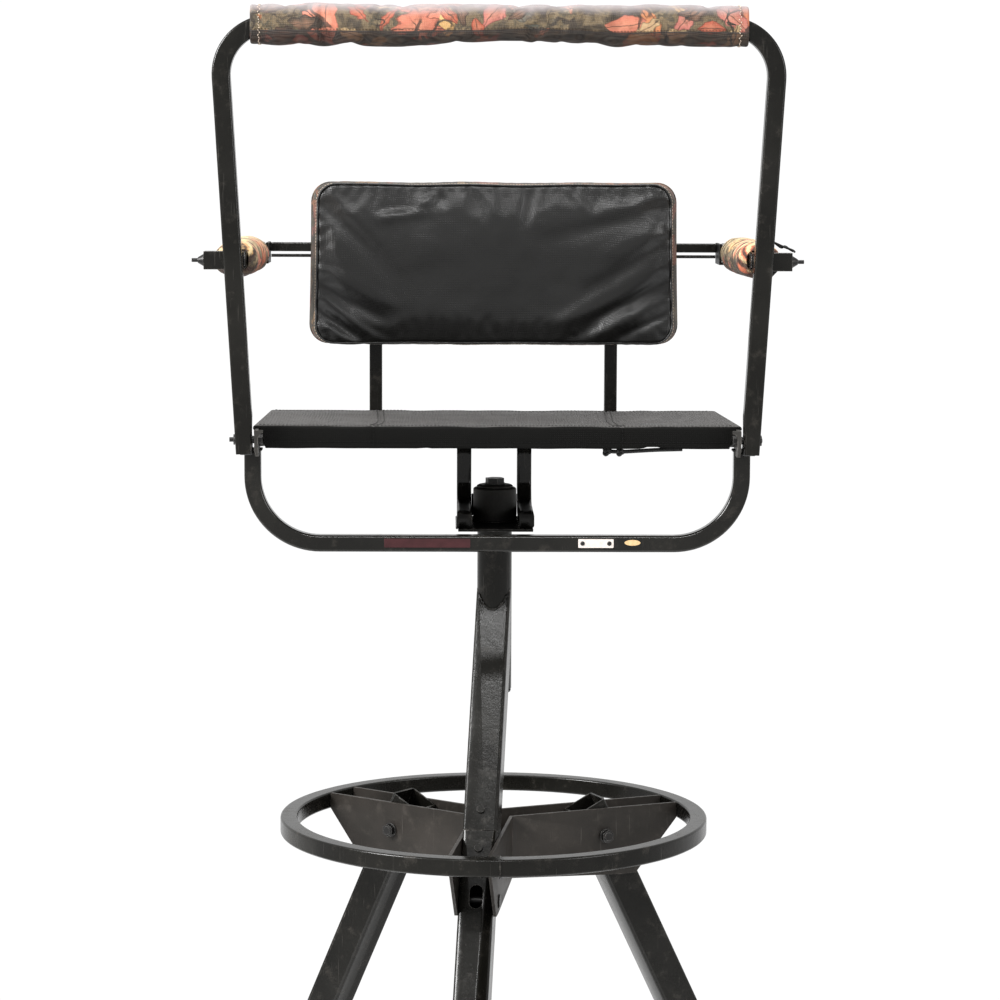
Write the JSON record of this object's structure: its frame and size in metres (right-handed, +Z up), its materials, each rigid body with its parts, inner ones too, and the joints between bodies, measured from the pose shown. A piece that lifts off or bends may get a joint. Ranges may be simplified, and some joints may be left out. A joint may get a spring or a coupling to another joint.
{
  "type": "tripod hunting stand",
  "caption": "Free-standing tripod hunting stand: splayed square-tube legs, ring foot rest, mast and swivel, cloth seat with padded backrest, lift-up armrests and fold-down padded shooting rail.",
  "frame": {"origin": "on the ground, under the middle of the whole object's box; the mast axis is at x = -41.67 mm, y = +124.21 mm", "axes": "+Z up along the mast, -Y the way the seat faces, +X to the viewer's right when facing the stand"},
  "size_m": [1.2492, 1.1642, 1.973],
  "materials": {
    "frame_paint": "satin black powder coat",
    "hub_paint": "satin black-brown powder coat",
    "hardware": "black-oxide fasteners",
    "bracket_steel": "worn dark grey",
    "nylon": "natural",
    "black_plastic": "matte",
    "camo_fabric": "printed leaf camouflage weave",
    "black_fabric": "coated black polyester",
    "seat_fabric": "dark mesh sling",
    "cord_fabric": "braided lace"
  },
  "bodies": {
    "base": {"foot_ring": "frame_paint", "hub_plate_left": "hub_paint", "hub_plate_right": "hub_paint", "hub_plate_rear": "hub_paint", "leg_front": "frame_paint", "leg_rear_left": "frame_paint", "leg_rear_right": "frame_paint", "leg_bolt_front": "hardware", "leg_bolt_rear_left": "hardware", "leg_bolt_rear_right": "hardware", "step_rung_upper": "frame_paint", "step_rung_lower": "frame_paint", "mast_post": "frame_paint", "post_insert": "frame_paint", "post_pin_upper": "hardware", "post_pin_lower": "hardware", "mast_tube": "frame_paint", "mast_end_cap": "black_plastic", "swivel_bolt": "hardware", "thrust_washer": "nylon"},
    "seat": {"swivel_housing": "frame_paint", "swivel_cap": "black_plastic", "swivel_bush": "nylon", "seat_base_plate": "frame_paint", "seat_support_left": "frame_paint", "seat_support_right": "frame_paint", "seat_front_tube": "frame_paint", "seat_rear_tube": "frame_paint", "seat_side_tube_left": "frame_paint", "seat_side_tube_right": "frame_paint", "seat_cross_tube": "frame_paint", "seat_sling": "seat_fabric", "seat_lace": "cord_fabric", "backrest_post_left": "frame_paint", "backrest_post_right": "frame_paint", "backrest_plate": "frame_paint", "backrest_cushion": "black_fabric", "armrest_crossbar": "frame_paint", "crossbar_rod": "frame_paint", "front_hoop": "frame_paint", "rail_bracket_left": "bracket_steel", "rail_bracket_right": "bracket_steel", "rail_pivot_bolt_left": "hardware", "rail_pivot_bolt_right": "hardware", "armrest_pivot_bolt_left": "hardware", "armrest_pivot_bolt_right": "hardware", "armrest_stop_left": "frame_paint", "armrest_stop_right": "frame_paint"},
    "rail": {"shooting_rail": "frame_paint", "rail_cover": "camo_fabric"},
    "armrest_left": {"armrest_tube_left": "frame_paint", "armrest_pad_left": "camo_fabric", "armrest_block_left": "frame_paint", "armrest_block_bolt_left": "hardware"},
    "armrest_right": {"armrest_tube_right": "frame_paint", "armrest_pad_right": "camo_fabric", "armrest_block_right": "frame_paint", "armrest_block_bolt_right": "hardware", "hairpin_clip": "bracket_steel"}
  },
  "joints": [
    {"name": "seat_swivel", "type": "hinge", "parent": "base", "child": "seat", "pos_m": [-0.04167, 0.12421, 1.44], "axis": [0, 0, 1], "continuous": true},
    {"name": "rail_fold", "type": "hinge", "parent": "seat", "child": "rail", "pos_m": [-0.04167, -0.08479, 1.5215], "axis": [1, 0, 0], "range_deg": [0, 110]},
    {"name": "armrest_left_lift", "type": "hinge", "parent": "seat", "child": "armrest_left", "pos_m": [-0.31567, 0.28971, 1.712], "axis": [-1, 0, 0], "range_deg": [0, 95]},
    {"name": "armrest_right_lift", "type": "hinge", "parent": "seat", "child": "armrest_right", "pos_m": [0.23233, 0.28971, 1.712], "axis": [-1, 0, 0], "range_deg": [0, 95]}
  ]
}
